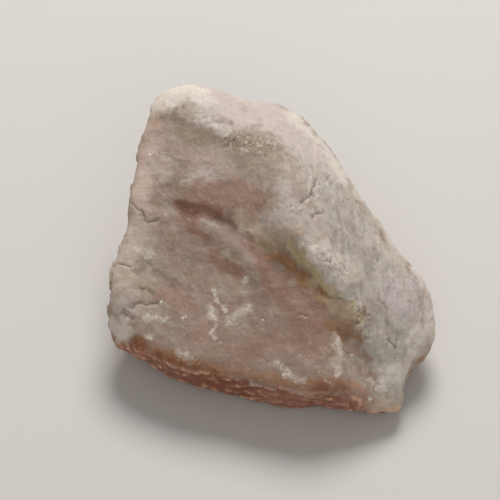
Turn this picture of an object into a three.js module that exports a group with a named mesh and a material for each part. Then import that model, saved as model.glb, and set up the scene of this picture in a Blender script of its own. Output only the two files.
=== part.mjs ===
// Rough mangano calcite: one broken lump of pink calcite, lying on its flattest cleavage face.
// Millimetres, +Z up. The origin is on the face it rests on, under the middle of its box.
// The lump is the hull of its broken corners. Notches are split out of it between planes,
// strokes press its soft hollows and swellings, and wear rounds its edges.

import * as THREE from "three";
import { ConvexHull } from "three/addons/math/ConvexHull.js";
import { ImprovedNoise } from "three/addons/math/ImprovedNoise.js";
import { mergeVertices } from "three/addons/utils/BufferGeometryUtils.js";

// Driving dimensions.
const MESH_DETAIL = 20; // cuts along each edge of the icosahedron that the surface starts from
const WEAR_PASSES = 3; // rounds of smoothing that stand for worn edges
const WEAR = 0.45; // share of the way to its neighbours' middle that a point moves in a round
const CORE = new THREE.Vector3(-1, -4, 12); // a point deep inside, that every part of the surface faces
const PROPORTIONS = new THREE.Vector3(32, 32, 18); // half sizes, which spread the surface points evenly
const FLAT_MARGIN = 4; // height over which the swells fade out, so that the resting face stays flat

// Swells in the broken faces: how far apart they are and how far they stand out.
const SWELLS = [
  { spacing: 12, height: 0.6 },
  { spacing: 5, height: 0.25 },
];

// The broken corners that the faces span, as x, y, z.
const CORNERS = {
  restingFace: [
    [-20, -13, 0], [-10, -22, 0], [3, -28.5, 0], [21, -30, 0], [25, -17, 0],
    [17, 2, 0], [5, 17, 0], [-13, 20, 0], [-21, 6, 0],
  ],
  frontFoot: [
    [-30, -21.3, 6], [-22.6, -25.4, 4.4], [-17.3, -27.2, 3.8], [-10.5, -28.8, 3.1], [-2.8, -30.2, 2.2],
    [5.1, -31.4, 1.4], [13, -31.2, 1.4], [26.6, -34, 1.4], [26.6, -33.4, 3.8],
  ],
  frontRim: [
    [-30.4, -21.6, 8.6], [-27.5, -23.4, 11.6], [-19.9, -27.5, 13], [-7.4, -31.3, 13.4], [-0.7, -32.9, 13.2],
    [5.2, -33.7, 12.8], [11.6, -33.2, 11.8], [17.1, -33.4, 9], [25.8, -33.6, 4.4],
  ],
  leftSide: [
    [-32.3, -20, 7], [-32.4, -19.3, 10.5], [-32.5, -16.7, 14.4], [-32.7, -14, 16.8],
    [-32.7, -10.6, 18.6], [-27.1, 4.2, 22.5], [-24.2, 19.3, 27.2],
  ],
  cap: [
    [-24.8, 26.2, 28.2], [-24.8, 29.2, 30.4], [-21, 29.6, 31.6], [-16.7, 29.8, 32.2],
    [-13, 28.3, 31.2], [-22.8, 20.3, 30.8], [-13.6, 17.4, 31.4],
  ],
  crest: [
    [-8.4, 15.6, 30.4], [-5.5, 11.7, 30.2], [1.8, 8.5, 28.8], [2.3, 1.3, 27.2], [0.8, -6.2, 26],
    [6.4, -11.1, 24.6], [8.8, -12.7, 23.6], [13.5, -17.6, 20.6], [17.2, -21.6, 17], [19.2, -25, 14],
    [20.6, -28.3, 10.8],
  ],
  backRim: [
    [1.7, 28.4, 25.5], [3.7, 26.4, 25], [6.8, 25.2, 24], [8.9, 21.7, 23], [12.6, 15.9, 21.5],
    [29.8, -8.6, 14], [31.2, -11.3, 13], [32, -15.1, 11], [32.2, -19.1, 9], [32, -21.3, 6],
  ],
  backAndSides: [
    [-31.6, -13, 7], [-27.4, -1, 9], [-26.6, 8, 14], [-24.2, 24, 19], [-16, 27.6, 17], [-10, 25, 8],
    [1, 27, 14], [9, 19, 9], [14, 11, 8], [27.5, -8, 5],
  ],
};

// Planes that the lump split along, each through three points listed anticlockwise from outside.
const SPLITS = {
  lowerFace: [[-27, -23, 13], [5, -33, 13], [-18, 2.5, 22]],
  leftShoulder: [[-31.5, -12, 17.7], [-21.5, -12, 17], [-29, -3.6, 20.2]],
  upperSlope: [[-18.2, 2.5, 22], [-7.4, -1.7, 22], [-17, 17.5, 28.4]],
  crestFlank: [[1, -5, 25.3], [-0.6, -6.7, 21.2], [14, -17.5, 20.7]],
  crestWall: [[1.8, 8.5, 28.6], [-3.4, 1, 24], [0.8, -6.2, 25.7]],
  lowerRight: [[9.5, -33, 13.4], [16, -30, 10.7], [9.5, -17, 18.5]],
  lowerFlank: [[13.5, -17.6, 20.4], [11.5, -19.8, 15.5], [18, -23.6, 15]],
  footSide: [[24.6, -24.8, 3], [24, -24.8, 8], [25.4, -33, 6]],
  underLobe: [[24.6, -24.8, 3], [31.6, -19.4, 5.6], [24.4, -24.8, 8]],
};

// What lay outside all the planes of a notch is gone.
const NOTCHES = [
  ["lowerFace", "leftShoulder", "upperSlope", "crestFlank"],
  ["lowerFace", "leftShoulder", "upperSlope", "crestWall"],
  ["lowerRight", "lowerFlank"],
  ["footSide", "underLobe"],
];

// Every point within reach of the line from a to b is pushed by up to that much.
const STROKES = {
  topDip: { a: [-7, 30, 20], b: [-7, 22, 30], reach: 7.5, push: [0, -2, -1.4] },
  capLip: { a: [-22, 20.5, 30], b: [-14, 18, 30.6], reach: 4, push: [0, -0.6, 0.6] },
  capStep: { a: [-22, 15.5, 27.8], b: [-10, 13.5, 28.6], reach: 5, push: [0.2, 0.4, -1.5] },
  foldGroove: { a: [-18, 2.6, 22], b: [-7, -1.2, 22], reach: 4, push: [0, 0, -0.9] },
  diagonalRib: { a: [-14, -0.6, 21.5], b: [-4, -10, 19.5], reach: 3.4, push: [0, 0, 0.9] },
  hollowUnderCrest: { a: [-1, -7.5, 20.4], b: [9, -17, 17.5], reach: 5, push: [0, 0.2, -1] },
  crestKnob: { a: [9.5, -10.5, 23.5], b: [14.5, -13.5, 21], reach: 4.5, push: [0.3, 0.2, 0.9] },
  greyChannel: { a: [17, 1, 20], b: [21.5, -13, 16.5], reach: 5, push: [-0.3, -0.2, -0.9] },
  lobe: { a: [27, -12, 14], b: [27, -18, 12.5], reach: 6, push: [0.2, 0, 0.6] },
  rimDent: { a: [24, -1.6, 16], b: [26, -5, 6], reach: 6, push: [-1.1, -0.7, 0] },
  leftDent: { a: [-29, -0.6, 21], b: [-29, -2.6, 8], reach: 6, push: [1.3, 0, 0] },
  leftFoot: { a: [-29, -22, 5], b: [-24, -25, 5], reach: 5, push: [0, 0.6, 0.6] },
  frontRecess: { a: [8, -33, 4], b: [13, -33, 8], reach: 5, push: [0, 1.4, 0.6] },
  footArch: { a: [8, -31.5, 0.6], b: [21, -32.5, 1], reach: 4, push: [0, 0.9, 0.5] },
};

const noise = new ImprovedNoise();
const vectorOf = (numbers) => new THREE.Vector3(...numbers);

function closedBall() {
  const ball = new THREE.IcosahedronGeometry(1, MESH_DETAIL);
  ball.deleteAttribute("normal");
  ball.deleteAttribute("uv");
  return mergeVertices(ball, 1e-5);
}

function meshDirections(ball) {
  const position = ball.getAttribute("position");
  return Array.from({ length: position.count }, (_, i) =>
    new THREE.Vector3().fromBufferAttribute(position, i).multiply(PROPORTIONS).normalize(),
  );
}

// How far a plane lies from the core along a direction.
function reachOfPlane(plane, direction) {
  const along = plane.normal.dot(direction);
  return along > 1e-6 ? -plane.distanceToPoint(CORE) / along : Infinity;
}

// A point on the hull, or on the floor of a notch where that lies deeper.
function brokenSurface(directions) {
  const corners = Object.values(CORNERS).flat().map(vectorOf);
  const hull = new ConvexHull().setFromPoints(corners);
  const planeOf = (name) => new THREE.Plane().setFromCoplanarPoints(...SPLITS[name].map(vectorOf));
  const notches = NOTCHES.map((names) => names.map(planeOf));
  return directions.map((direction) => {
    const reachOf = (plane) => reachOfPlane(plane, direction);
    const hullReach = Math.min(...hull.faces.map(reachOf));
    const notchReaches = notches.map((planes) => Math.max(...planes.map(reachOf)));
    return CORE.clone().addScaledVector(direction, Math.min(hullReach, ...notchReaches));
  });
}

function pushAlong(points, { a, b, reach, push }) {
  const line = new THREE.Line3(vectorOf(a), vectorOf(b));
  const nearest = new THREE.Vector3();
  const fullPush = vectorOf(push);
  for (const point of points) {
    line.closestPointToPoint(point, true, nearest);
    const away = nearest.distanceTo(point) / reach;
    if (away < 1) point.addScaledVector(fullPush, (1 - away * away) ** 2);
  }
}

function neighboursOf(index, count) {
  const neighbours = Array.from({ length: count }, () => new Set());
  for (let i = 0; i < index.length; i += 3) {
    for (let k = 0; k < 3; k++) {
      neighbours[index[i + k]].add(index[i + ((k + 1) % 3)]);
      neighbours[index[i + k]].add(index[i + ((k + 2) % 3)]);
    }
  }
  return neighbours;
}

function wear(points, neighbours) {
  const middles = neighbours.map((around) => {
    const middle = new THREE.Vector3();
    for (const j of around) middle.add(points[j]);
    return middle.divideScalar(around.size);
  });
  points.forEach((point, i) => point.lerp(middles[i], WEAR));
}

function swell(points) {
  for (const point of points) {
    const outward = point.clone().sub(CORE).normalize();
    const share = THREE.MathUtils.clamp(point.z / FLAT_MARGIN, 0, 1);
    const start = point.clone();
    for (const { spacing, height } of SWELLS) {
      const rise = height * noise.noise(start.x / spacing, start.y / spacing, start.z / spacing);
      point.addScaledVector(outward, share * rise);
    }
    point.z = Math.max(point.z, 0);
  }
}

function standOnOrigin(geometry) {
  geometry.computeBoundingBox();
  const middle = geometry.boundingBox.getCenter(new THREE.Vector3());
  geometry.translate(-middle.x, -middle.y, -geometry.boundingBox.min.z);
}

function stoneGeometry() {
  const geometry = closedBall();
  const points = brokenSurface(meshDirections(geometry));
  for (const stroke of Object.values(STROKES)) pushAlong(points, stroke);
  const neighbours = neighboursOf(geometry.index.array, points.length);
  for (let pass = 0; pass < WEAR_PASSES; pass++) wear(points, neighbours);
  swell(points);
  geometry.setFromPoints(points);
  standOnOrigin(geometry);
  geometry.computeVertexNormals();
  return geometry;
}

const paleRoseCalcite = new THREE.MeshStandardMaterial({
  color: 0xd9bdb2,
  roughness: 0.6,
  metalness: 0,
});
const stone = new THREE.Mesh(stoneGeometry(), paleRoseCalcite);
stone.name = "mangano_calcite";

const group = new THREE.Group();
group.add(stone);

export default group;
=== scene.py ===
import math

import bpy
import numpy as np
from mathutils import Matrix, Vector


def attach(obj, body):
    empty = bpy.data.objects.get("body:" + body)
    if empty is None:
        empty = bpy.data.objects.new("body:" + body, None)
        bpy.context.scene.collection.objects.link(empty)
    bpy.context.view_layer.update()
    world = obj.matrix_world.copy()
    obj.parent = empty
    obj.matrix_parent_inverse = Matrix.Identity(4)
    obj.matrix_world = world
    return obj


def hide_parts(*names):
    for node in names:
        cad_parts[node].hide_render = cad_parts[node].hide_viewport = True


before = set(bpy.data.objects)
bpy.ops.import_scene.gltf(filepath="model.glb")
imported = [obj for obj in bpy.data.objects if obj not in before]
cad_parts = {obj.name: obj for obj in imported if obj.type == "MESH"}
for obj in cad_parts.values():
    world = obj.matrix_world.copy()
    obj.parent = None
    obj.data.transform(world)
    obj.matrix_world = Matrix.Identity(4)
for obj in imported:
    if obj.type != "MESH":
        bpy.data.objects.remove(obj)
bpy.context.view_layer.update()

bl_info = {
    "name": "Rough mangano calcite",
    "version": (1, 0, 0),
    "blender": (4, 5, 0),
    "location": "3D View > Sidebar > Calcite",
    "description": "Dresses the lump of pink calcite and sets up its plain studio stage",
    "category": "Mesh",
}

MM = 0.001
NODE = "mangano_calcite"

# The three directions that the crystal splits across, about 75 degrees apart as calcite's are.
CLEAVAGE = ((-0.05, -0.3, 0.95), (0.9, 0.2, 0.39), (-0.14, 0.85, 0.52))

# The directions that drawn-out patterns follow: the grey face's grooves, the fold's ridges and the
# milky streaks in the crystal.
DOWN_GREY_FACE = (0.0, -0.95, -0.3)
ALONG_FOLD = (0.75, -0.55, -0.35)
ALONG_STREAKS = (0.75, -0.6, -0.3)

# The waves that bend every stroke a little: their length and height in millimetres, and where each
# starts along X, Y and Z.
WANDER = ((7.0, 0.5), (2.9, 0.3), (1.3, 0.14))
WANDER_START = (0.3, 1.7, 4.1)

# How far above or below a stroke the surface may lie and still be on it, in millimetres.
FREE_DEPTH = 1.5

# A distance past the reach of every thin line, in millimetres.
FAR = 9.0

# How many times the surface is averaged with its neighbours to tell what stands proud of it.
BLUR_STEPS = 14

# Edges sharper than this are shaded as edges.
SHARP_ANGLE = math.radians(45)

# Between calcite's two indices of refraction, 1.49 and 1.66.
CALCITE_IOR = 1.55

# What the camera looks at, in metres.
AIM = Vector((-0.0045, 0.0032, 0.011))

# The name of each lamp, and its place and size in metres and power in watts.
LAMPS = (
    ("back_softbox", (0.05, 0.5, 0.62), 0.4, 5.6),
    ("front_fill", (0.1, -0.7, 0.6), 0.9, 2.0),
)

# The strength of the light that comes from all around.
ROOM_LIGHT = 0.26

# Touches are what breaks the stone's evenness at one place. Each is a list of strokes, and a stroke is
# its reach on either side and the points that it runs through, in millimetres.
TOUCHES = {
    # The waxy corner at the back left, and the pale top beside it.
    "cap": [(4.6, (-23, 27.5, 29), (-15, 27, 30.5))],
    # Partly grey-olive stone, partly painted shade under the cap's step.
    "cap_shade": [
        (1.8, (-19.5, 24.5, 29), (-17, 23.5, 29.5), (-15, 23.5, 29.5)),
        (4, (-18, 20, 28), (-15, 19, 28)),
    ],
    "cap_stain": [(2.2, (-23, 25, 28.5), (-23, 22.5, 28))],
    "top_strip": [
        (7.5, (-13, 26.5, 30), (-1.5, 26, 27), (5, 20, 25.5)), (5, (5, 20, 25.5), (11, 15, 23)),
    ],
    "milky_patch": [
        (2.4, (-14, 22, 29.5), (-11, 20.5, 29), (-8, 19.5, 28.5)),
        (2.2, (-16, 10, 24.5), (-13.5, 11.5, 25), (-11.5, 10, 25)),
        (2.2, (-25, 13.5, 24.5), (-22, 11.5, 24)),
    ],
    # The slope between the top and the fold.
    "upper_mauve": [
        (6.5, (-21, 19, 27), (-20, 14, 25.5), (-9, 13.5, 27), (-1, 11, 27.5)),
        (4, (-1, 11, 27.5), (3.5, 8.5, 28)),
    ],
    "ochre": [(4.2, (-8, 17.5, 28.5), (-2.5, 16.5, 28.5), (1, 14.5, 28.5))],
    "ochre_haze": [(4.5, (-7, 13, 26.5), (0, 10, 27)), (2.6, (-20, 11, 24), (-19, 9, 23.5))],
    "warm": [(5, (-14, 7, 23.5), (-8, 6.5, 24), (-3.5, 4.5, 24.5))],
    "shoulder": [(3.6, (1, 15, 28), (2.5, 12, 28), (4, 9, 28), (4, 4, 27))],
    "lilac_grey": [
        (4.5, (1.5, 6.5, 27.5), (4, 1.5, 26.5), (1, -1, 24.5)),
        (3.5, (4, 1.5, 26.5), (8.5, -1, 25), (7, -5, 24.5)),
    ],
    # The fold across the middle, with its veins and stains, and a painted shadow along its crease.
    # Partly dark brown stone, partly painted shade along the fold's step.
    "fold": [(2, (-18.5, 6, 22), (-16, 5.5, 22), (-14, 4.5, 22), (-11, 3.5, 22))],
    "fold_tail": [
        (2.1, (-11, 3.5, 22), (-8.5, 2, 21.5), (-6.5, 0, 21), (-3.5, -3, 21), (0, -5.5, 19.5)),
    ],
    # Painted shadow: the dark line under the fold's small overhang.
    "painted_crease_shadow": [
        (1, (-18.5, 6, 22.5), (-16.5, 6, 22.5), (-15, 4.5, 22), (-13, 4, 22)),
        (0.7, (-13, 4, 22), (-9.5, 2.5, 22.5), (-7, 1, 21.5)),
    ],
    "red_vein": [
        (1.9, (-17.5, 3, 21.5), (-15.5, 1.5, 21), (-13.5, -0.5, 21)),
        (1.5, (-18, 4.5, 22), (-15, 3.5, 22), (-13.5, 3, 21)),
    ],
    "rib": [
        (2.1, (-13, 1.5, 21.5), (-10.5, 0, 21.5), (-8, -2.5, 21), (-5.5, -6, 20.5)),
        (1.5, (-5.5, -6, 20.5), (-4.5, -8.5, 20), (-3, -11.5, 18.5)),
    ],
    "milky_streak": [
        (0.6, (-13.5, 2.5, 21), (-12.5, 2, 21.5), (-10.5, 1, 22)), (0.7, (-6, 1, 21), (-4.5, -1, 22.5)),
        (0.8, (-3.5, -1, 23), (-1, -3, 22.5)),
    ],
    "bank": [
        (2.7, (-6, 2.5, 22.5), (-4, 0, 22.5), (-1.5, -2, 22.5), (1, -3.5, 23), (3, -4.5, 23.5),
         (4, -3.5, 25)),
    ],
    "rust": [
        (2.2, (0, -5, 20), (2, -5.5, 20.5), (4, -8.5, 20), (6.5, -11.5, 18.5)),
        (1.8, (8.5, -13, 18), (9.5, -14, 17.5)),
    ],
    "tea": [
        (2.3, (7.5, -11, 19.5), (9.5, -13.5, 18.5), (12, -16, 17.5), (14.5, -18, 16.5)),
        (2, (-2.5, -2.5, 21), (0, -3.5, 20.5)),
    ],
    "olive": [
        (1.6, (3.5, -5.5, 23.5), (5, -7, 22.5), (6.5, -9, 21), (8.5, -11, 20.5), (12.5, -14, 20)),
        (1.1, (14.5, -16.5, 18.5), (17, -19, 16.5)),
    ],
    "olive_dark": [(1.7, (4, -5.5, 24), (5.5, -7, 23)), (1, (12, -13.5, 20.5), (13.5, -14.5, 19.5))],
    "brown_hollow": [
        (2, (11, -19, 17), (12.5, -20, 16.5), (16.5, -20.5, 15)), (1.3, (9, -13, 19), (10.5, -14, 19)),
    ],
    "knob": [(2.2, (7, -7.5, 23.5), (8.5, -9, 22.5), (12, -11.5, 22), (13, -13, 21))],
    # The large face in front of the fold.
    "rose": [
        (2.9, (-11.5, -4.5, 20), (-10, -6.5, 19.5), (-7.5, -8.5, 19)),
        (4.4, (-2, -7.5, 19.5), (0.5, -11, 18.5), (3.5, -15, 18), (8, -19, 17)),
        (2.4, (4, -13, 18.5), (7, -14.5, 17.5), (9, -15.5, 17.5)),
    ],
    "rose_low": [(6, (-1.5, -14, 17.5), (4, -21, 16), (7, -25, 15))],
    "milky_low": [
        (3.2, (-13.5, -9, 18.5), (-10, -11.5, 17.5), (-5, -13, 18)),
        (3.6, (-21.5, -6, 18), (-18.5, -8, 17.5)), (2.6, (-25, 3, 21), (-21.5, 5.5, 21.5)),
    ],
    "warm_low": [
        (5, (-15, -20, 14.5), (-6, -22, 14), (3, -23, 15), (9, -24, 14.5)),
        (1.8, (15.5, -22.5, 13), (17, -23.5, 12)), (2.4, (16.5, -26, 11.5), (19, -27.5, 10)),
        (3.5, (-20.5, -12.5, 16.5), (-17, -14, 16.5)),
    ],
    "pale_wedge": [(2, (11.5, -22, 15), (12, -27, 13))],
    # The weathered right-hand face.
    "grey_face": [
        (9, (8, 12, 24.5), (14, 4, 22.5), (20, -8, 18), (24, -16, 14), (22, -24, 10)),
        (3, (11, -7, 24), (13.5, -10, 22.5), (15.5, -15.5, 19.5)),
    ],
    "dull_grey": [
        (3.6, (12, -3, 22.5), (17, -4, 20)), (3.4, (22, -13.5, 16.5), (19.5, -16, 17.5)),
        (3, (10.5, 5, 24.5), (15, 1, 21.5)), (3.8, (16.5, -25, 12), (18.5, -28, 10)),
        (2.2, (18, -9, 19.5), (18.5, -7, 19), (20, -4, 18.5)),
        (2.6, (22, -16.5, 15), (23.5, -18.5, 14)),
    ],
    "lilac": [(4.5, (22.5, -11, 16.5), (24, -14.5, 15)), (3.5, (26.5, -9, 15.5), (28.5, -12, 14))],
    # The edges, with a painted highlight along the back and right-hand ones.
    # Painted highlight: a pale rim along the back and right-hand edges, standing in for light from behind.
    "painted_rim_light": [
        (2.6, (3.5, 26, 26), (6.5, 24, 24.5), (10, 20.5, 23.5), (14, 13, 21)),
        (3.5, (12, 18, 19), (20, 8, 16), (26, -2, 14), (31, -10, 11), (30, -16, 10), (27, -19, 11.5)),
        (2.6, (26.5, -20.5, 10), (25, -24, 8.5), (21.5, -26, 9.5)),
    ],
    # Partly pink stone, partly a painted glow where light shines through the thin left edge.
    "pink_edge": [(3.5, (-24, 22, 27), (-26, 14.5, 24.5), (-26, 6, 22))],
    "pale_edge": [(3, (-25.5, 12, 23.5), (-25.5, 9, 23)), (3.5, (-27.5, 1, 20.5), (-29.5, -9, 17))],
    "left_grey": [(5, (-28, -13, 16), (-27.5, -7, 18), (-26, 0, 20.5))],
    # Painted shade in the dents on the left side.
    "painted_dent_shade": [(2.5, (-28, -8, 18), (-25.5, -9.5, 17), (-23.5, -11.5, 17))],
    "corner": [(3.6, (-30.5, -16, 12.5), (-28.5, -18.5, 12.5))],
    "corner_stain": [(2.4, (-27, -20.5, 11), (-24.5, -20, 14))],
    # The grainy band along the front.
    "lip": [
        (2.8, (-28, -20.5, 9.5), (-24, -22, 12), (-15.5, -25.5, 12), (-3.5, -28, 12.5),
         (4.5, -30.5, 12.5), (11, -29, 12.5), (16, -30, 10)),
    ],
    "amber_edge": [
        (2, (-26, -20.5, 12), (-25.5, -21, 12)),
        (2.4, (-22, -23.5, 12), (-18.5, -25, 11.5), (-15.5, -26.5, 11.5), (-11, -27.5, 10.5)),
        (2.6, (8, -30.5, 12), (10, -31, 11), (12, -30.5, 11.5)),
    ],
    "granular": [(7.5, (-31, -18, 4), (-26, -23, 5), (-8, -28.5, 4), (7, -31, 4), (17, -32, 2))],
    "band_pink": [(5.5, (-1, -29, 6), (9, -31, 7), (16, -31, 6)), (3, (-27, -22, 8), (-24, -23, 9))],
    "honey": [(4, (18, -31, 6), (23.5, -30.5, 4.5)), (3, (-24, -22, 9), (-12, -26.5, 10.5))],
    "foot": [(4, (20, -30.5, 6), (23.5, -30.5, 4))],
    # Small marks: bruises, crumbs, scratches, painted highlights where facets glint, cracks, dents and
    # pits.
    "flecks": [
        (0.7, (-11.5, -11.5, 17.5), (-10.5, -13, 17), (-9.5, -16, 16.5)),
        (1.4, (-12.5, -16, 16), (-11.5, -17, 16)), (1.4, (-8.5, -18, 15.5), (-5, -16, 16.5)),
        (0.8, (-11, -18.5, 15), (-11, -20, 15)), (1.3, (-18, -23, 13), (-16.5, -23.5, 13)),
        (0.9, (-23.5, -19, 14), (-22.5, -19.5, 14)), (0.8, (-25, -16, 15), (-21, -16.5, 15)),
        (0.9, (-6, -10.5, 18.5), (-5.5, -11, 18.5)), (0.9, (-27, -3, 19.5), (-26.5, -3.5, 19.5)),
        (1, (-24, -3.5, 19), (-23.5, -5, 19)), (1.3, (1, -26, 14), (2.5, -28, 13.5), (5, -29, 13)),
        (1, (12, -26.5, 13), (12, -28, 13)), (1, (12, -21, 15.5), (12.5, -23.5, 14)),
        (0.7, (18, -27.5, 10), (21.5, -28.5, 8)),
        (1.6, (-14.5, 23, 29), (-12, 21.5, 29), (-9.5, 20, 29)), (0.8, (5.5, -6, 24), (8, -8, 23.5)),
        (0.8, (13, -14.5, 19.5), (14.5, -15.5, 19)),
    ],
    "sprinkled": [
        (5.5, (-26, -15, 15), (-18, -20, 14), (-8, -19, 15.5)), (4, (-1, -25, 14), (14, -27, 12)),
        (3, (-27, -3, 19.5), (-22, -6, 18.5)), (3.5, (-14, 24, 30), (-9, 20, 29)),
        (3, (15, -29, 10), (22.5, -29.5, 6.5)), (3, (10, 6, 24), (6, 1, 26)),
    ],
    "scratches": [
        (0.35, (-22.5, 16, 25.5), (-19.5, 14.5, 25.5)), (0.3, (-21, 14.5, 25.5), (-19, 13.5, 25)),
        (0.35, (-8.5, 26, 29.5), (-7, 24.5, 29)), (0.4, (11, -21, 15.5), (13.5, -23.5, 13.5)),
        (0.3, (11.5, -21, 15.5), (10.5, -23, 15.5)), (0.3, (12.5, -22, 15), (12.5, -24, 14)),
        (0.35, (14, -23, 13.5), (15, -23.5, 13)), (0.3, (4.5, -17.5, 17), (6, -18, 17)),
    ],
    # Painted highlights: short strokes where small facets catch the light, painted into the colour.
    "glints": [
        (0.4, (-19.5, 14.5, 24.5), (-19.5, 14, 24.5)), (0.5, (-21.5, 26.5, 29.5), (-21, 26.5, 29.5)),
        (0.45, (-14.5, 25, 29.5), (-14.5, 24.5, 29.5)), (0.4, (-9.5, 25.5, 30), (-9, 25.5, 30)),
        (0.5, (-6, 23.5, 28.5), (-6, 23, 28.5)), (0.45, (-8.5, 20.5, 28.5), (-8, 20.5, 28.5)),
        (0.4, (-5.5, 16, 27), (-5.5, 15.5, 27)), (0.5, (-24, 16, 26), (-23.5, 16, 26)),
        (0.45, (-25, 10, 23), (-25, 9.5, 23)), (0.4, (10.5, 9, 24.5), (11, 9, 24.5)),
        (0.5, (7.5, 9.5, 25), (7.5, 9, 25)), (0.45, (9, 6.5, 24.5), (9.5, 6.5, 24.5)),
        (0.4, (7.5, 3.5, 25), (7.5, 3, 25)), (0.5, (6, -7.5, 22.5), (6.5, -7.5, 22.5)),
        (0.45, (8.5, -6.5, 24), (8.5, -7, 24)), (0.4, (14, -14, 19.5), (14.5, -14, 19.5)),
        (0.5, (-5.5, -11, 17.5), (-5.5, -11.5, 17.5)), (0.45, (-2.5, -18, 16.5), (-2, -18, 16.5)),
        (0.4, (-21, -13.5, 16), (-21, -14, 16)), (0.5, (-17.5, -16.5, 15.5), (-17, -16.5, 15.5)),
        (0.45, (-10.5, -20.5, 15), (-10.5, -21, 15)), (0.4, (14, -23, 13.5), (14.5, -23, 13.5)),
        (0.5, (24.5, -16, 15), (24.5, -16.5, 15)), (0.45, (9.5, -29.5, 13), (10, -29.5, 13)),
        (0.4, (-14, -24.5, 12), (-14, -25, 12)), (0.5, (17.5, -30, 8.5), (18, -30, 8.5)),
    ],
    "cuts": [
        (0.5, (-27.5, 6.5, 21.5), (-27, 5, 21.5), (-25, 3.5, 21.5), (-24, 2.5, 21.5), (-22, 3, 21)),
        (0.6, (-25.5, -11, 17), (-23.5, -11, 16.5), (-23, -12, 16.5)),
        (0.5, (-27.5, -14.5, 15.5), (-25, -14, 16), (-21.5, -14, 16)),
        (0.8, (-29.5, -15, 15), (-27.5, -16, 15)), (0.5, (-30, -6, 18), (-27.5, -6.5, 18)),
        (0.6, (9, 9, 24.5), (7.5, 5.5, 25.5), (5.5, 3, 26.5)), (0.6, (9.5, 1, 24), (7.5, -0.5, 25)),
        (0.5, (15.5, 8.5, 21.5), (14, 6.5, 22)), (0.5, (20.5, -14, 17), (21.5, -15.5, 16.5)),
        (0.5, (23, -21.5, 12.5), (22.5, -20.5, 13.5)),
    ],
    "dents": [
        (3.2, (-18.5, 12.5, 25), (-19, 9.5, 24)), (2, (-26, -8, 18), (-24, -6.5, 18)),
        (2.5, (-22, -8, 18), (-20, -11, 17)),
    ],
    "pitted": [
        (3.4, (-8, 17.5, 28.5), (0, 15.5, 28.5)),
        (2.2, (11.5, 11.5, 23.5), (7.5, 5.5, 25.5), (4.5, 1.5, 26.5)),
        (1.8, (10, -8.5, 23), (13, -11, 22)), (1.8, (15.5, -16, 19), (18, -20, 15.5)),
    ],
}

# Touches finer than the mesh, which are drawn by their distance from the middle of the stroke.
THIN_LINES = ("cuts", "scratches")

# How each touch colours the stone, from the lowest film to the highest: touch, colour, where its mask
# starts and is full, and how much it covers. The grainy film lies where the relief has its grains.
FILMS = (
    ("grey_face", "grey_face", 0.0, 0.45, 0.95),
    ("dull_grey", "dull_grey", 0.0, 1.0, 0.7),
    ("left_grey", "lilac_grey", 0.0, 0.9, 0.6),
    ("upper_mauve", "mauve", 0.0, 0.7, 0.8),
    ("lilac_grey", "lilac_grey", 0.0, 0.7, 0.9),
    ("shoulder", "shoulder", 0.0, 1.0, 0.8),
    ("ochre_haze", "ochre", 0.0, 1.0, 0.5),
    ("warm", "warm", 0.0, 0.9, 0.8),
    ("milky_patch", "top_strip", 0.0, 0.9, 0.5),
    ("warm_low", "body_rose", 0.0, 0.9, 0.75),
    ("milky_low", "body_pale", 0.0, 0.9, 0.8),
    ("top_strip", "top_strip", 0.0, 0.6, 0.95),
    ("ochre", "ochre", 0.1, 0.8, 0.8),
    # Partly pink stone, partly a painted glow along the thin left edge.
    ("pink_edge", "pink_edge", 0.0, 0.8, 0.8),
    ("pale_edge", "pale", 0.0, 0.9, 0.45),
    # Painted shade in the dents on the left side.
    ("painted_dent_shade", "shade", 0.0, 0.9, 0.5),
    # Painted highlight along the back and right-hand edges.
    ("painted_rim_light", "cap", 0.0, 0.8, 0.75),
    ("lilac", "lilac", 0.0, 0.9, 0.8),
    ("rose", "rose", 0.0, 0.8, 0.85),
    ("rose_low", "rose", 0.1, 1.1, 0.22),
    ("fold_tail", "rose", 0.0, 0.9, 0.8),
    ("red_vein", "rose", 0.0, 0.9, 0.9),
    ("fold", "fold", 0.0, 0.8, 0.95),
    ("rib", "rib", 0.1, 0.7, 0.9),
    ("bank", "bank", 0.0, 1.0, 0.75),
    ("milky_streak", "pale", -0.1, 0.8, 0.35),
    # Painted shadow along the fold's crease.
    ("painted_crease_shadow", "painted_crease_shadow", 0.0, 0.7, 0.5),
    ("rust", "rust", 0.0, 1.1, 0.85),
    ("tea", "tea", 0.0, 0.9, 0.8),
    ("olive", "olive", 0.0, 0.9, 0.7),
    ("brown_hollow", "brown_hollow", 0.0, 1.0, 0.85),
    ("knob", "cap", 0.0, 0.9, 0.75),
    ("olive_dark", "olive_dark", 0.0, 0.9, 0.35),
    ("pale_wedge", "pale", 0.0, 0.9, 0.45),
    ("lip", "honey", 0.0, 1.1, 0.7),
    # Partly the grains' own colour, partly painted shade on the front side, which faces away from the
    # light.
    ("grainy", "granular", 0.0, 1.1, 0.9),
    ("band_pink", "band_pink", 0.0, 0.9, 0.45),
    ("honey", "amber", 0.1, 0.9, 0.65),
    ("amber_edge", "amber", 0.0, 0.9, 0.75),
    ("foot", "pale", 0.0, 0.9, 0.75),
    ("corner", "cap", 0.1, 0.8, 0.85),
    ("corner_stain", "amber", 0.0, 0.9, 0.8),
    ("cap", "cap", 0.1, 0.7, 0.95),
    ("cap_shade", "shade", 0.1, 0.9, 0.5),
    ("cap_stain", "tea", 0.1, 1.0, 0.6),
)


def linear(hex_colour):
    """An sRGB hex colour as the linear colour that Blender's sockets hold."""
    srgb = [int(hex_colour[i:i + 2], 16) / 255 for i in (1, 3, 5)]
    return [c / 12.92 if c <= 0.04045 else ((c + 0.055) / 1.055) ** 2.4 for c in srgb]


def millimetres(label, description, default):
    return bpy.props.FloatProperty(
        name=label, description=description, default=default, min=0.0, precision=3
    )


def colour(label, description, hex_colour):
    return bpy.props.FloatVectorProperty(
        name=label, description=description, default=linear(hex_colour),
        subtype="COLOR", size=3, min=0, max=1
    )


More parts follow.
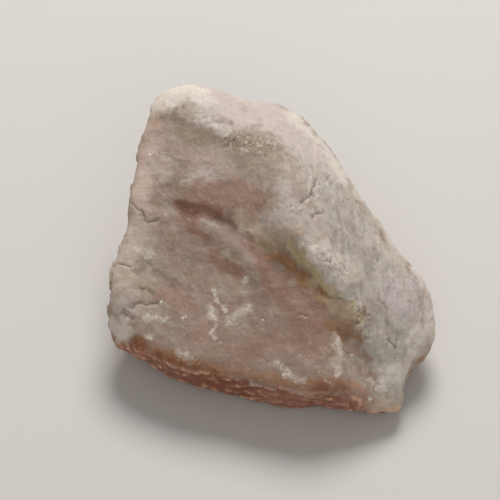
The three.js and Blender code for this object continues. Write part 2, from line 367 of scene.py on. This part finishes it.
class ReliefSizes(bpy.types.PropertyGroup):
    swell_height: millimetres("Swell height", "Height of the soft unevenness, in millimetres", 0.35)
    block_size: millimetres("Block size", "Distance between cleavage planes, in millimetres", 5.0)
    block_height: millimetres("Block height", "How far the broken blocks stand out, in millimetres", 0.5)
    skin_height: millimetres("Skin height", "Height of the leathery wrinkles, in millimetres", 0.32)
    ruffle_height: millimetres("Ruffle height", "Height of the ridges in the fold, in millimetres", 0.16)
    grain_height: millimetres("Grain height", "How far the lumpy grains stand out, in millimetres", 0.4)
    pit_depth: millimetres("Pit depth", "Depth of the small pits, in millimetres", 0.25)
    cut_depth: millimetres("Cut depth", "Depth of the larger cracks, in millimetres", 0.2)
    fleck_height: millimetres("Fleck height", "How far the bruised flakes stand up, in millimetres", 0.12)


class CalciteColours(bpy.types.PropertyGroup):
    body: colour("Body", "The cloudy mauve-tan of the fresh faces", "#927b6d")
    body_pale: colour("Pale body", "Cloudier, paler bands in the body", "#a28e7d")
    body_beige: colour("Beige body", "Duller, yellower bands in the body", "#a28f79")
    body_rose: colour("Rosy body", "Clearer, pinker bands in the body", "#957564")
    fresh: colour("Fresh", "Pinker stone where it was broken", "#b48f80")
    cap: colour("Cap", "The waxy cream corner", "#dfd4c8")
    # Partly grey-olive stone, partly painted shade under the cap's step; also the painted shade in the
    # dents on the left.
    shade: colour("Shade", "Grey-olive film under the cap", "#9c8e73")
    rust: colour("Rust", "Orange-brown stain in the hollows", "#a5733f")
    top_strip: colour("Top strip", "The smooth pale lilac-pink top", "#c8b9b1")
    # Partly pink stone, partly a painted glow where light shines through the thin edge.
    ochre: colour("Ochre", "Earthy stain in the rough places", "#988770")
    warm: colour("Warm", "Clear brown-pink stone above the fold", "#a1816e")
    mauve: colour("Mauve", "Smooth milky slope below the top", "#b49f93")
    shoulder: colour("Shoulder", "Duller mauve where the top turns to the right-hand face", "#a08d82")
    lilac_grey: colour("Lilac grey", "The dull band along the crest", "#b6a89e")
    pink_edge: colour("Pink edge", "Thin edge that lets light through", "#c2aa9c")
    pale: colour("Pale", "Weathered pale edges", "#ccbcaa")
    bank: colour("Bank", "Dull beige stone above the fold's tail", "#c2ad95")
    # Partly dark brown stone, partly painted shade along the fold's step.
    fold: colour("Fold", "Dark stone in the fold", "#7d5541")
    # Painted shadow along the bottom of the fold.
    painted_crease_shadow: colour("Crease", "The darkest stone, along the bottom of the fold", "#5f4232")
    rose: colour("Rose", "Deeper red-brown where the crystal is clearest", "#84614f")
    rib: colour("Rib", "The greyish cleavage band", "#8a7465")
    olive: colour("Olive", "Greenish stain under the crest", "#c9b88b")
    olive_dark: colour("Dark olive", "The deepest of the greenish stain", "#85763c")
    brown_hollow: colour("Brown hollow", "Brown stone at the fold's lower end", "#86603a")
    tea: colour("Tea", "Brown-tinted clear stone beside the olive stain", "#bfa586")
    grey_face: colour("Grey face", "The weathered right-hand face", "#b7ada1")
    dull_grey: colour("Dull grey", "Duller parts of the right-hand face", "#958a7e")
    lilac: colour("Lilac", "The lobe's cool tint", "#b9ada9")
    # Partly the grains' own orange, partly painted shade: made darker and deeper for the front side, which
    # faces away from the light.
    granular: colour("Granular", "The orange-pink grains of the front edge", "#833a12")
    band_pink: colour("Band pink", "Pinker grains of the front edge", "#ad7c66")
    honey: colour("Honey", "Yellow-brown film on the front edge", "#9c6a3e")
    amber: colour("Amber", "Clear orange-brown stone along the front edge", "#82491f")
    # Painted highlight: light on the tops of the front band's grains, painted into the colour.
    painted_grain_highlight: colour("Glow", "Tops of the grains, where light comes through", "#d8a789")
    # Painted highlight: bright spots on the front band's rounded grains.
    painted_pearl_highlight: colour("Pearl", "Small rounded grains that shine through the front edge", "#dcb298")
    # Painted shade: darkening in the gaps between the front band's grains.
    painted_gap_shade: colour("Hollow", "Gaps between the grains", "#62381f")
    # Also the painted highlight along edges that stand proud.
    white: colour("White", "Bruises and thin veins", "#ded4c7")
    # Painted highlight: the bright glint of small facets.
    glint: colour("Glint", "Small facets that catch the light", "#f2ebe1")
    # Dirt in pits and cracks, and painted shade where the surface lies below its surroundings.
    dirt_and_shade: colour("Dirt", "Dirt in pits and cracks", "#5a483b")


class StageSettings(bpy.types.PropertyGroup):
    elevation: bpy.props.FloatProperty(
        name="Camera angle", description="Angle of the camera above the floor",
        default=math.radians(52), subtype="ANGLE"
    )
    distance: bpy.props.FloatProperty(
        name="Camera distance", description="From the camera to the point it looks at",
        default=0.34, unit="LENGTH"
    )
    lens: bpy.props.FloatProperty(
        name="Lens", description="Focal length, in millimetres", default=122.4, unit="CAMERA"
    )
    floor: colour("Floor", "The plain pale floor", "#cfcac4")


def add(tree, kind, values=None, **settings):
    """Adds a node with its settings; values maps its inputs to plain values, sockets or fields."""
    node = tree.nodes.new(kind)
    for name, value in settings.items():
        setattr(node, name, value)
    for key, value in (values or {}).items():
        if isinstance(value, Field):
            value = value.socket
        if isinstance(value, bpy.types.NodeSocket):
            tree.links.new(value, node.inputs[key])
        else:
            node.inputs[key].default_value = value
    return node


class Field:
    """A number that differs from place to place. Arithmetic on it adds the nodes that work it out."""

    def __init__(self, socket):
        self.tree = socket.id_data
        self.socket = socket

    def worked_out(self, operation, *values):
        node = add(self.tree, "ShaderNodeMath", dict(enumerate(values)), operation=operation)
        return Field(node.outputs[0])

    def __add__(self, other):
        return self.worked_out("ADD", self, other)

    def __sub__(self, other):
        return self.worked_out("SUBTRACT", self, other)

    def __rsub__(self, other):
        return self.worked_out("SUBTRACT", other, self)

    def __mul__(self, other):
        return self.worked_out("MULTIPLY", self, other)

    def __truediv__(self, other):
        return self.worked_out("DIVIDE", self, other)

    def __abs__(self):
        return self.worked_out("ABSOLUTE", self)

    def __floor__(self):
        return self.worked_out("FLOOR", self)

    def at_least(self, other):
        return self.worked_out("MAXIMUM", self, other)

    def at_most(self, other):
        return self.worked_out("MINIMUM", self, other)

    def ramp(self, low, high):
        """0 at low and 1 at high, with a smooth change between; high may be the smaller of the two."""
        values = {"Value": self, "From Min": low, "From Max": high}
        node = add(self.tree, "ShaderNodeMapRange", values, interpolation_type="SMOOTHSTEP")
        return Field(node.outputs[0])


def in_millimetres(position):
    """The places that patterns are drawn at, from a position in metres."""
    values = {0: position, "Scale": 1 / MM}
    return add(position.id_data, "ShaderNodeVectorMath", values, operation="SCALE").outputs[0]


def along(place, direction):
    """How far a place lies in a direction."""
    values = {0: place, 1: direction}
    node = add(place.id_data, "ShaderNodeVectorMath", values, operation="DOT_PRODUCT")
    return Field(node.outputs["Value"])


def combed(place, direction, stretch):
    """Places squeezed along a direction, which draws a pattern out that way."""
    direction = Vector(direction).normalized()
    values = {0: direction, "Scale": along(place, direction) * (1 - 1 / stretch)}
    shift = add(place.id_data, "ShaderNodeVectorMath", values, operation="SCALE").outputs[0]
    values = {0: place, 1: shift}
    return add(place.id_data, "ShaderNodeVectorMath", values, operation="SUBTRACT").outputs[0]


def noise(place, size, detail, seed, roughness=0.55):
    """Fractal noise, mostly within -0.5 to 0.5, with lumps about size millimetres apart.

    The seed picks one of its endless patterns.
    """
    values = {"Vector": place, "W": seed, "Scale": 1 / size, "Detail": detail, "Roughness": roughness}
    node = add(place.id_data, "ShaderNodeTexNoise", values, noise_dimensions="4D")
    return (Field(node.outputs[0]) - 0.5) * 2.0


def merged_copy(node_name):
    """A copy of the CAD node with its loose triangles joined into one closed skin."""
    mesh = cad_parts[node_name].data.copy()
    mesh.materials.clear()
    stone = bpy.data.objects.new("calcite_lump", mesh)
    bpy.context.scene.collection.objects.link(stone)
    weld = stone.modifiers.new("Weld", "WELD")
    weld.merge_threshold = 0.001 * MM
    return stone


def make_plain(piece):
    """Turns the piece and its modifiers into one plain mesh."""
    bpy.context.view_layer.update()
    graph = bpy.context.evaluated_depsgraph_get()
    mesh = bpy.data.meshes.new_from_object(
        piece.evaluated_get(graph), preserve_all_data_layers=True, depsgraph=graph
    )
    piece.modifiers.clear()
    piece.data = mesh


def refine(stone, step):
    """An even fine skin over the lump, in place of its large facets."""
    smooth = stone.modifiers.new("Round the facets", "SUBSURF")
    smooth.levels = smooth.render_levels = 2
    remesh = stone.modifiers.new("Even skin", "REMESH")
    remesh.mode = "VOXEL"
    remesh.voxel_size = step * MM
    make_plain(stone)


def wandered(points):
    """Bends space a little, so that a straight stroke comes out as a natural, wandering one."""
    for wave_length, height in WANDER:
        turned = points[:, (1, 2, 0)]
        points = points + height * np.sin(turned * (2 * math.pi / wave_length) + WANDER_START)
    return points


def distance_to_line(points, normals, a, b):
    """How far each point lies from the line between a and b, and on which side of it, from -1 to 1.

    Being a little above or below the line is free.
    """
    a = np.array(a, float)
    line = np.array(b, float) - a
    share = np.clip((points - a) @ line / (line @ line), 0, 1)
    away = points - a - share[:, None] * line
    depth = np.sum(away * normals, axis=1)
    across = np.linalg.norm(away - depth[:, None] * normals, axis=1)
    side = np.sign(np.sum(np.cross(line, away) * normals, axis=1))
    return np.hypot(across, np.maximum(np.abs(depth) - FREE_DEPTH, 0)), side


def read_vectors(collection, name):
    """One vector of every item of a mesh's collection, as rows of an array."""
    values = np.empty(len(collection) * 3, np.float32)
    collection.foreach_get(name, values)
    return values.reshape(-1, 3)


def store(mesh, name, values):
    """Keeps one number per point of the mesh under a name."""
    mesh.attributes.new(name, "FLOAT", "POINT").data.foreach_set("value", values.astype(np.float32))


def paint_touches(mesh):
    """Stores a number for each touch at each point: 1 on the middle of a stroke, 0 at its reach.

    It goes on falling past the reach, down to -1. A thin line's touch also gets the distance from the
    line, below 0 on its other side, so that a line finer than the mesh can be read from it.
    """
    points = wandered(read_vectors(mesh.vertices, "co") / MM)
    normals = read_vectors(mesh.vertices, "normal")
    for name, strokes in TOUCHES.items():
        amount = np.full(len(points), -1.0)
        signed = np.full(len(points), FAR)
        for reach, *line in strokes:
            for a, b in zip(line, line[1:]):
                distance, side = distance_to_line(points, normals, a, b)
                signed = np.where(1 - distance / reach > amount, side * distance, signed)
                amount = np.maximum(amount, 1 - distance / reach)
        store(mesh, name, amount)
        if name in THIN_LINES:
            store(mesh, name + "_side", signed)


def cleavage_blocks(place, bent, spacing, seed):
    """A random height, from -1 to 1, for each block that the cleavage planes cut the stone into."""
    tree = place.id_data
    counts = []
    for number, direction in enumerate(CLEAVAGE):
        drift = noise(place, 7.0, 2.0, seed + 7 + number) * 0.5
        counts.append(math.floor(along(bent, Vector(direction).normalized()) / spacing + drift))
    block = add(tree, "ShaderNodeCombineXYZ", dict(enumerate(counts))).outputs[0]
    chance = add(tree, "ShaderNodeTexWhiteNoise", {"Vector": block, "W": seed}, noise_dimensions="4D")
    return Field(chance.outputs["Value"]) * 2.0 - 1.0


def relief_tree(labels):
    """Geometry Nodes that break the smooth skin into swells, cleavage steps, wrinkles, grains and cracks.

    The labels name the inputs for the heights and sizes, all in millimetres. The tree also stores what the
    material reads: where the stone is pitted, grainy and broken, and how proud each point stands.
    """
    tree = bpy.data.node_groups.new("Broken calcite relief", "GeometryNodeTree")
    face = tree.interface
    face.new_socket("Geometry", in_out="INPUT", socket_type="NodeSocketGeometry")
    for label in labels:
        face.new_socket(label, in_out="INPUT", socket_type="NodeSocketFloat")
    face.new_socket("Material", in_out="INPUT", socket_type="NodeSocketMaterial")
    face.new_socket("Geometry", in_out="OUTPUT", socket_type="NodeSocketGeometry")
    given = add(tree, "NodeGroupInput").outputs
    position = add(tree, "GeometryNodeInputPosition").outputs[0]
    normal = add(tree, "GeometryNodeInputNormal").outputs[0]
    place = in_millimetres(position)

    def stored(name):
        node = add(tree, "GeometryNodeInputNamedAttribute", {"Name": name}, data_type="FLOAT")
        return Field(node.outputs[0])

    def touch(name, low, high, raggedness=0.5):
        """Where a touch lies, with a ragged edge."""
        amount = stored(name)
        ragged = amount + noise(place, 1.8, 4.0, 10) * raggedness
        return amount.ramp(0.0, 0.05) * ragged.ramp(low, high)

    # Where the stone is of which kind. What faces up was worn; what faces sideways or down is broken.
    upward = Field(add(tree, "ShaderNodeSeparateXYZ", {0: normal}).outputs[2])
    upward = upward + noise(place, 2.0, 3.0, 40) * 0.35
    granular = touch("granular", -0.1, 0.2) * upward.ramp(0.85, 0.1)
    broken = upward.ramp(0.5, 0.0) * (1.0 - granular * 0.8)
    leathery = touch("grey_face", 0.0, 0.4)
    pitted = touch("pitted", 0.1, 0.6)
    ruffled = touch("warm", 0.0, 0.5) * 0.35
    for name in ("fold", "fold_tail", "rust"):
        ruffled = ruffled.at_least(touch(name, 0.0, 0.5))

    # Soft swells, and steps between cleavage blocks of two sizes, the small ones about a third as large.
    swells = noise(place, 3.2, 3.0, 9) * 0.7 + noise(place, 8.0, 2.0, 12) * 1.5
    swells = swells * given["Swell height"]
    values = {"Vector": place, "Scale": 0.6, "Detail": 3.0}
    bend = add(tree, "ShaderNodeTexNoise", values).outputs["Color"]
    values = {0: bend, 1: (0.7, 0.7, 0.7), 2: place}
    bent = add(tree, "ShaderNodeVectorMath", values, operation="MULTIPLY_ADD").outputs[0]
    large_blocks = cleavage_blocks(place, bent, given["Block size"], 30)
    small_blocks = cleavage_blocks(place, bent, Field(given["Block size"]) * 0.36, 60)
    patchy = noise(place, 5.0, 2.0, 97).ramp(-0.25, 0.2)
    steps = large_blocks + small_blocks * patchy * 0.6
    steps = steps * given["Block height"] * (broken * 0.9 + 0.1)

    # Leathery wrinkles on the grey face, roughness, and ridges along the fold.
    down_face = combed(place, DOWN_GREY_FACE, 4.0)
    wrinkles = noise(down_face, 1.3, 4.0, 16) + noise(down_face, 2.8, 2.0, 17)
    skin = wrinkles + abs(noise(place, 1.1, 3.0, 19)) * -0.4
    skin = skin * given["Skin height"] * (leathery * 0.7 + 0.2)
    rough = noise(place, 1.1, 4.0, 20) * pitted.at_least(broken) * 0.3
    ridges = noise(combed(place, ALONG_FOLD, 3.5), 1.8, 3.0, 28)
    ruffles = ridges * given["Ruffle height"] * ruffled

    # Rounded grains about 2 mm across, which make up the front band.
    values = {"Vector": place, "Scale": 1 / 2.1, "Smoothness": 0.9}
    grain = Field(add(tree, "ShaderNodeTexVoronoi", values, feature="SMOOTH_F1").outputs["Distance"])
    lumps = noise(place, 3.0, 2.0, 34) + (0.4 - grain) * 1.3
    grains = lumps * given["Grain height"] * (granular + broken * 0.2)

    # Pits, cracks, scratches, dents and the flakes of bruises.
    pit = noise(place, 0.8, 3.0, 32).ramp(-0.2, -0.4) * pitted
    cut = stored("cuts").ramp(0.0, 0.8) * noise(place, 1.6, 3.0, 22).ramp(-0.5, -0.1)
    scratch = stored("scratches").ramp(0.0, 0.8)
    dent = touch("dents", 0.0, 1.0, 0.2)
    flake = touch("flecks", 0.0, 0.5, 0.9) * noise(place, 0.9, 3.0, 24).ramp(0.0, 0.25)

    height = swells + steps + skin + rough + ruffles + grains + flake * given["Fleck height"]
    height = height - pit * given["Pit depth"] - cut * given["Cut depth"] - scratch * 0.1 - dent * 0.35
    # The resting face is only hollowed, so that the stone still stands on the floor.
    above_floor = Field(add(tree, "ShaderNodeSeparateXYZ", {0: place}).outputs[2])
    hollowed = height.at_most(0.0)
    height = hollowed + (height - hollowed) * above_floor.ramp(0.2, 2.5)
    values = {0: normal, "Scale": height * MM}
    offset = add(tree, "ShaderNodeVectorMath", values, operation="SCALE").outputs[0]

    geometry = given["Geometry"]
    for name, value in (("pit", pit), ("grainy", granular), ("broken", broken)):
        values = {"Geometry": geometry, "Name": name, "Value": value}
        geometry = add(tree, "GeometryNodeStoreNamedAttribute", values, data_type="FLOAT").outputs[0]
    geometry = add(tree, "GeometryNodeSetPosition", {"Geometry": geometry, "Offset": offset}).outputs[0]

    values = {"Value": position, "Iterations": BLUR_STEPS}
    around = add(tree, "GeometryNodeBlurAttribute", values, data_type="FLOAT_VECTOR").outputs[0]
    values = {0: position, 1: around}
    stands_out = add(tree, "ShaderNodeVectorMath", values, operation="SUBTRACT").outputs[0]
    values = {"Geometry": geometry, "Name": "proud", "Value": along(stands_out, normal) * (1 / MM)}
    geometry = add(tree, "GeometryNodeStoreNamedAttribute", values, data_type="FLOAT").outputs[0]
    geometry = add(tree, "GeometryNodeRealizeInstances", {"Geometry": geometry}).outputs[0]
    values = {"Geometry": geometry, "Material": given["Material"]}
    geometry = add(tree, "GeometryNodeSetMaterial", values).outputs[0]
    add(tree, "NodeGroupOutput", {"Geometry": geometry})
    return tree


def add_relief(stone, sizes, material):
    """Breaks the stone's smooth skin with the relief tree, and makes it a plain mesh again."""
    inputs = {}
    for name in ReliefSizes.__annotations__:
        label = sizes.bl_rna.properties[name].name
        inputs[label] = getattr(sizes, name)
    modifier = stone.modifiers.new("Relief", "NODES")
    modifier.node_group = relief_tree(inputs)
    inputs["Material"] = material
    for item in modifier.node_group.interface.items_tree:
        if item.in_out == "INPUT" and item.name in inputs:
            modifier[item.identifier] = inputs[item.name]
    make_plain(stone)


def calcite_material(settings):
    """Rough mangano calcite: cloudy pink crystal, broken along its own planes, then weathered.

    It lets light a little way in, so its clear parts look deep and its thin edges glow. Nothing polished
    it, so its sheen is wide and waxy. The real stone's grain, hairlines and scratches are finer than a
    tenth of a millimetre, and are drawn 0.2 to 0.5 mm wide so that they show.
    """
    material = bpy.data.materials.new("rough_mangano_calcite")
    material.use_nodes = True
    tree = material.node_tree
    tree.nodes.clear()
    place = in_millimetres(add(tree, "ShaderNodeTexCoord").outputs["Object"])
    colours = {name: (*getattr(settings, name), 1.0) for name in CalciteColours.__annotations__}

    def stored(name):
        return Field(add(tree, "ShaderNodeAttribute", attribute_name=name).outputs["Fac"])

    def layered(under, layers):
        """Lays colours over each other, each as thick as its field says."""
        for thickness, over in layers:
            values = {"Factor": thickness, "A": under, "B": over}
            under = add(tree, "ShaderNodeMix", values, data_type="RGBA").outputs["Result"]
        return under

    def thin_line(name, width):
        """A touch's strokes drawn as broken lines, at most so many millimetres wide."""
        half = noise(place, 1.4, 3.0, 63).ramp(-0.45, 0.1) * (width / 2)
        line = abs(stored(name + "_side")).ramp(half, half * 0.2)
        return line * stored(name).ramp(0.0, 0.4)

    cloud = noise(place, 7.0, 5.0, 3)
    blush = noise(place, 4.0, 4.0, 7)
    fine = noise(place, 1.2, 6.0, 10, roughness=0.65)
    speckle = noise(place, 0.45, 3.0, 12)
    streaks = noise(combed(place, ALONG_STREAKS, 4.0), 0.9, 4.0, 14)
    grooves = noise(combed(place, DOWN_GREY_FACE, 4.0), 0.7, 4.0, 17)
    raggedness = noise(place, 2.6, 5.0, 23) * 0.55 + fine * 0.3

    # The clouded crystal, and the films and stains that lie in and on it, among them some painted shade
    # and painted highlights.
    stone = layered(colours["body"], (
        (cloud.ramp(-0.1, 0.35), colours["body_pale"]),
        (blush.ramp(0.0, 0.35) * 0.7, colours["body_rose"]),
        (blush.ramp(-0.05, -0.35) * 0.6, colours["body_beige"]),
    ))
    for name, film, low, high, strength in FILMS:
        amount = stored(name)
        mask = (amount + raggedness).ramp(low, high) * amount.ramp(0.0, 0.12)
        stone = layered(stone, [(mask * strength, colours[film])])

    # The broken sides are fresher and pinker, with yellow-brown stain in their hollows.
    proud = stored("proud")
    weathered = stored("grey_face")
    # The painted rim light counts among the weathered places, so it gets little of the broken sides' fresh
    # colour.
    for name in ("painted_rim_light", "cap", "corner", "knob"):
        weathered = weathered.at_least(stored(name))
    weathered = weathered.ramp(0.0, 0.5)
    broken = stored("broken") * (1.0 - weathered)
    fresh = layered(colours["body_pale"], [(blush.ramp(-0.25, 0.25), colours["fresh"])])
    stain = (cloud + proud * -2.0).ramp(0.05, 0.4)
    stone = layered(stone, ((broken * 0.6, fresh), (stain * broken * 0.5, colours["honey"])))

    # What wear, the grains and fine patterns do, with painted highlights where the surface stands proud
    # and painted shade in its hollows. The darker the stone, the clearer it is, and the fewer pale streaks
    # it shows. Each row holds a pattern, where it starts and is full, the part of the stone that it lies
    # on, how much it covers, and its colour.
    grainy = stored("grainy")
    worn = 1.0 - grainy * 0.6
    lightness = Field(add(tree, "ShaderNodeRGBToBW", {"Color": stone}).outputs[0])
    cloudy = worn * lightness.ramp(0.08, 0.3)
    # Painted highlights: spots on the grains, more of them where the grains stand proud.
    pearl_highlights = noise(place, 0.9, 2.0, 84) + proud * 2.0
    patterns = (
        # Paler where the surface stands proud: partly edge wear, partly a painted highlight along the
        # edges.
        (proud, 0.01, 0.09, cloudy, 0.12, "white"),
        # Painted shade: darker where the surface lies below its surroundings.
        (proud, -0.01, -0.09, worn, 0.18, "dirt_and_shade"),
        # Painted highlight on the tops of the grains that stand proud.
        (proud, 0.02, 0.12, grainy, 0.3, "painted_grain_highlight"),
        # Painted highlight spots on the front band's grains.
        (pearl_highlights, 0.24, 0.42, grainy, 0.6, "painted_pearl_highlight"),
        # Painted shade in the gaps between the grains.
        (proud, -0.01, -0.1, grainy, 0.2, "painted_gap_shade"),
        (streaks, 0.05, 0.35, cloudy, 0.15, "white"),
        (fine, -0.05, -0.4, worn, 0.15, "dirt_and_shade"),
        (fine, 0.1, 0.4, cloudy, 0.15, "white"),
        (speckle, 0.2, 0.45, cloudy, 0.2, "white"),
        (speckle, -0.2, -0.45, worn, 0.12, "dirt_and_shade"),
        (grooves, 0.02, 0.3, weathered, 0.2, "white"),
        (grooves, -0.05, -0.35, weathered, 0.09, "dirt_and_shade"),
    )
    for pattern, low, high, where, strength, name in patterns:
        stone = layered(stone, [(pattern.ramp(low, high) * where * strength, colours[name])])

    # Bruised flakes with a haze around them, sprinkled crumbs, scratches, and painted highlights where
    # facets glint.
    flecks = stored("flecks")
    crumbs = noise(place, 0.4, 2.0, 53) + noise(place, 1.2, 2.0, 54) * 0.8
    flaking = (flecks + crumbs * 2.4).ramp(0.6, 1.1) * 0.6
    haze = (flecks + raggedness).ramp(0.0, 1.0) * 0.3
    flakes = flaking.at_least(haze) * flecks.ramp(-0.1, 0.3)
    sprinkled = stored("sprinkled")
    sprinkled = (sprinkled + raggedness).ramp(0.0, 0.7) * sprinkled.ramp(0.0, 0.1)
    scratches = thin_line("scratches", 0.2) * 0.8
    glints = stored("glints")
    glinting = (glints + speckle * 1.6).ramp(0.5, 1.0) * glints.ramp(0.0, 0.4) * 0.7

    # Dirt in pits, specks and cracks, and the crumbly places' pale crests.
    pitted = stored("pitted")
    specks = noise(place, 0.5, 2.0, 80).ramp(-0.1, -0.3)
    pitting = (pitted + blush * 0.6).ramp(0.0, 0.6) * pitted.ramp(0.0, 0.1) * specks
    crumbly = noise(place, 0.9, 3.0, 81).ramp(0.05, 0.3) * pitted.ramp(0.0, 0.6) * 0.45
    cuts = thin_line("cuts", 0.25) + stored("cuts").ramp(0.0, 1.0) * 0.3
    dirt_and_shade = (stored("pit") * 0.35).at_least(pitting * 0.5)
    stone = layered(stone, (
        (sprinkled * 0.08, colours["white"]),
        (speckle.ramp(0.27, 0.42) * sprinkled * 0.5, colours["white"]),
        (flakes.at_least(scratches), colours["white"]),
        # Painted highlights on the glinting facets.
        (glinting, colours["glint"]),
        (crumbly, colours["cap"]),
        (dirt_and_shade.at_least(cuts * 0.6), colours["dirt_and_shade"]),
    ))

    bump_height = noise(place, 0.8, 5.0, 33) * 0.7 + speckle * 0.4
    bump = add(tree, "ShaderNodeBump", {"Strength": 0.6, "Distance": 0.2 * MM, "Height": bump_height})
    skin = add(tree, "ShaderNodeBsdfPrincipled", {
        "Base Color": stone,
        "Roughness": cloud * 0.15 + 0.55 + fine * 0.25 + grainy * -0.2,
        "IOR": CALCITE_IOR,
        "Specular IOR Level": 0.3,
        "Normal": bump.outputs[0],
        "Subsurface Weight": 0.5,
        "Subsurface Radius": (1.0, 0.6, 0.45),
        "Subsurface Scale": 1.8 * MM,
    })
    add(tree, "ShaderNodeOutputMaterial", {"Surface": skin.outputs[0]})
    return material


class CALCITE_OT_stone(bpy.types.Operator):
    """Make the lump of rough mangano calcite over its CAD node"""
    bl_idname = "calcite.make_stone"
    bl_label = "Make the stone"

    mesh_step: millimetres("Mesh step", "Spacing of the surface's points, in millimetres", 0.35)

    def execute(self, context):
        stone = merged_copy(NODE)
        refine(stone, self.mesh_step)
        paint_touches(stone.data)
        add_relief(stone, context.scene.calcite_sizes, calcite_material(context.scene.calcite_colours))
        stone.data.shade_smooth()
        stone.data.set_sharp_from_angle(angle=SHARP_ANGLE)
        stone.name = stone.data.name = "calcite_stone"
        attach(stone, "root")
        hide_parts(NODE)
        return {"FINISHED"}


def lay_floor(colour_of_paint):
    """A plain matt floor, far wider than the view."""
    bpy.ops.mesh.primitive_plane_add(size=6.0, location=(0, 0, 0))
    floor = bpy.context.active_object
    floor.name = "floor"
    paint = bpy.data.materials.new("matt_floor_paint")
    paint.use_nodes = True
    skin = paint.node_tree.nodes["Principled BSDF"]
    skin.inputs["Base Color"].default_value = (*colour_of_paint, 1.0)
    skin.inputs["Roughness"].default_value = 0.8
    floor.data.materials.append(paint)


def place_camera(elevation, distance, lens):
    """A camera in front of the stone, which looks down at it."""
    back = Vector((0, -math.cos(elevation), math.sin(elevation)))
    camera = bpy.data.objects.new("camera", bpy.data.cameras.new("camera"))
    bpy.context.scene.collection.objects.link(camera)
    camera.location = AIM + back * distance
    camera.rotation_euler = (-back).to_track_quat("-Z", "Y").to_euler()
    camera.data.lens = lens
    camera.data.sensor_width = 36.0
    camera.data.clip_start = 0.01
    bpy.context.scene.camera = camera


def hang_lamps():
    """Soft round lamps that face the stone, in a dim even room."""
    for name, place, size, power in LAMPS:
        lamp = bpy.data.lights.new(name, "AREA")
        lamp.shape = "DISK"
        lamp.size = size
        lamp.energy = power
        holder = bpy.data.objects.new(name, lamp)
        bpy.context.scene.collection.objects.link(holder)
        holder.location = place
        holder.rotation_euler = (-Vector(place)).to_track_quat("-Z", "Y").to_euler()
    room = bpy.data.worlds.new("soft_room")
    room.use_nodes = True
    room.node_tree.nodes["Background"].inputs["Color"].default_value = (1, 1, 1, 1)
    room.node_tree.nodes["Background"].inputs["Strength"].default_value = ROOM_LIGHT
    bpy.context.scene.world = room


class CALCITE_OT_stage(bpy.types.Operator):
    """Lay the pale floor, hang the soft lights and place the camera"""
    bl_idname = "calcite.make_stage"
    bl_label = "Make the stage"

    def execute(self, context):
        settings = context.scene.calcite_stage
        lay_floor(settings.floor)
        place_camera(settings.elevation, settings.distance, settings.lens)
        hang_lamps()
        context.scene.view_settings.view_transform = "Standard"
        return {"FINISHED"}


class CALCITE_PT_panel(bpy.types.Panel):
    bl_label = "Calcite"
    bl_idname = "CALCITE_PT_panel"
    bl_space_type = "VIEW_3D"
    bl_region_type = "UI"
    bl_category = "Calcite"

    def draw(self, context):
        for operator in (CALCITE_OT_stone, CALCITE_OT_stage):
            self.layout.operator(operator.bl_idname)
        for name, group in SETTINGS.items():
            box = self.layout.box()
            for setting in group.__annotations__:
                box.prop(getattr(context.scene, name), setting)


SETTINGS = {
    "calcite_sizes": ReliefSizes,
    "calcite_colours": CalciteColours,
    "calcite_stage": StageSettings,
}
CLASSES = (*SETTINGS.values(), CALCITE_OT_stone, CALCITE_OT_stage, CALCITE_PT_panel)


def register():
    for cls in CLASSES:
        bpy.utils.register_class(cls)
    for name, group in SETTINGS.items():
        setattr(bpy.types.Scene, name, bpy.props.PointerProperty(type=group))


def unregister():
    for name in SETTINGS:
        delattr(bpy.types.Scene, name)
    for cls in reversed(CLASSES):
        bpy.utils.unregister_class(cls)


def main():
    register()
    bpy.ops.calcite.make_stone()
    bpy.ops.calcite.make_stage()


if __name__ == "__main__":
    main()
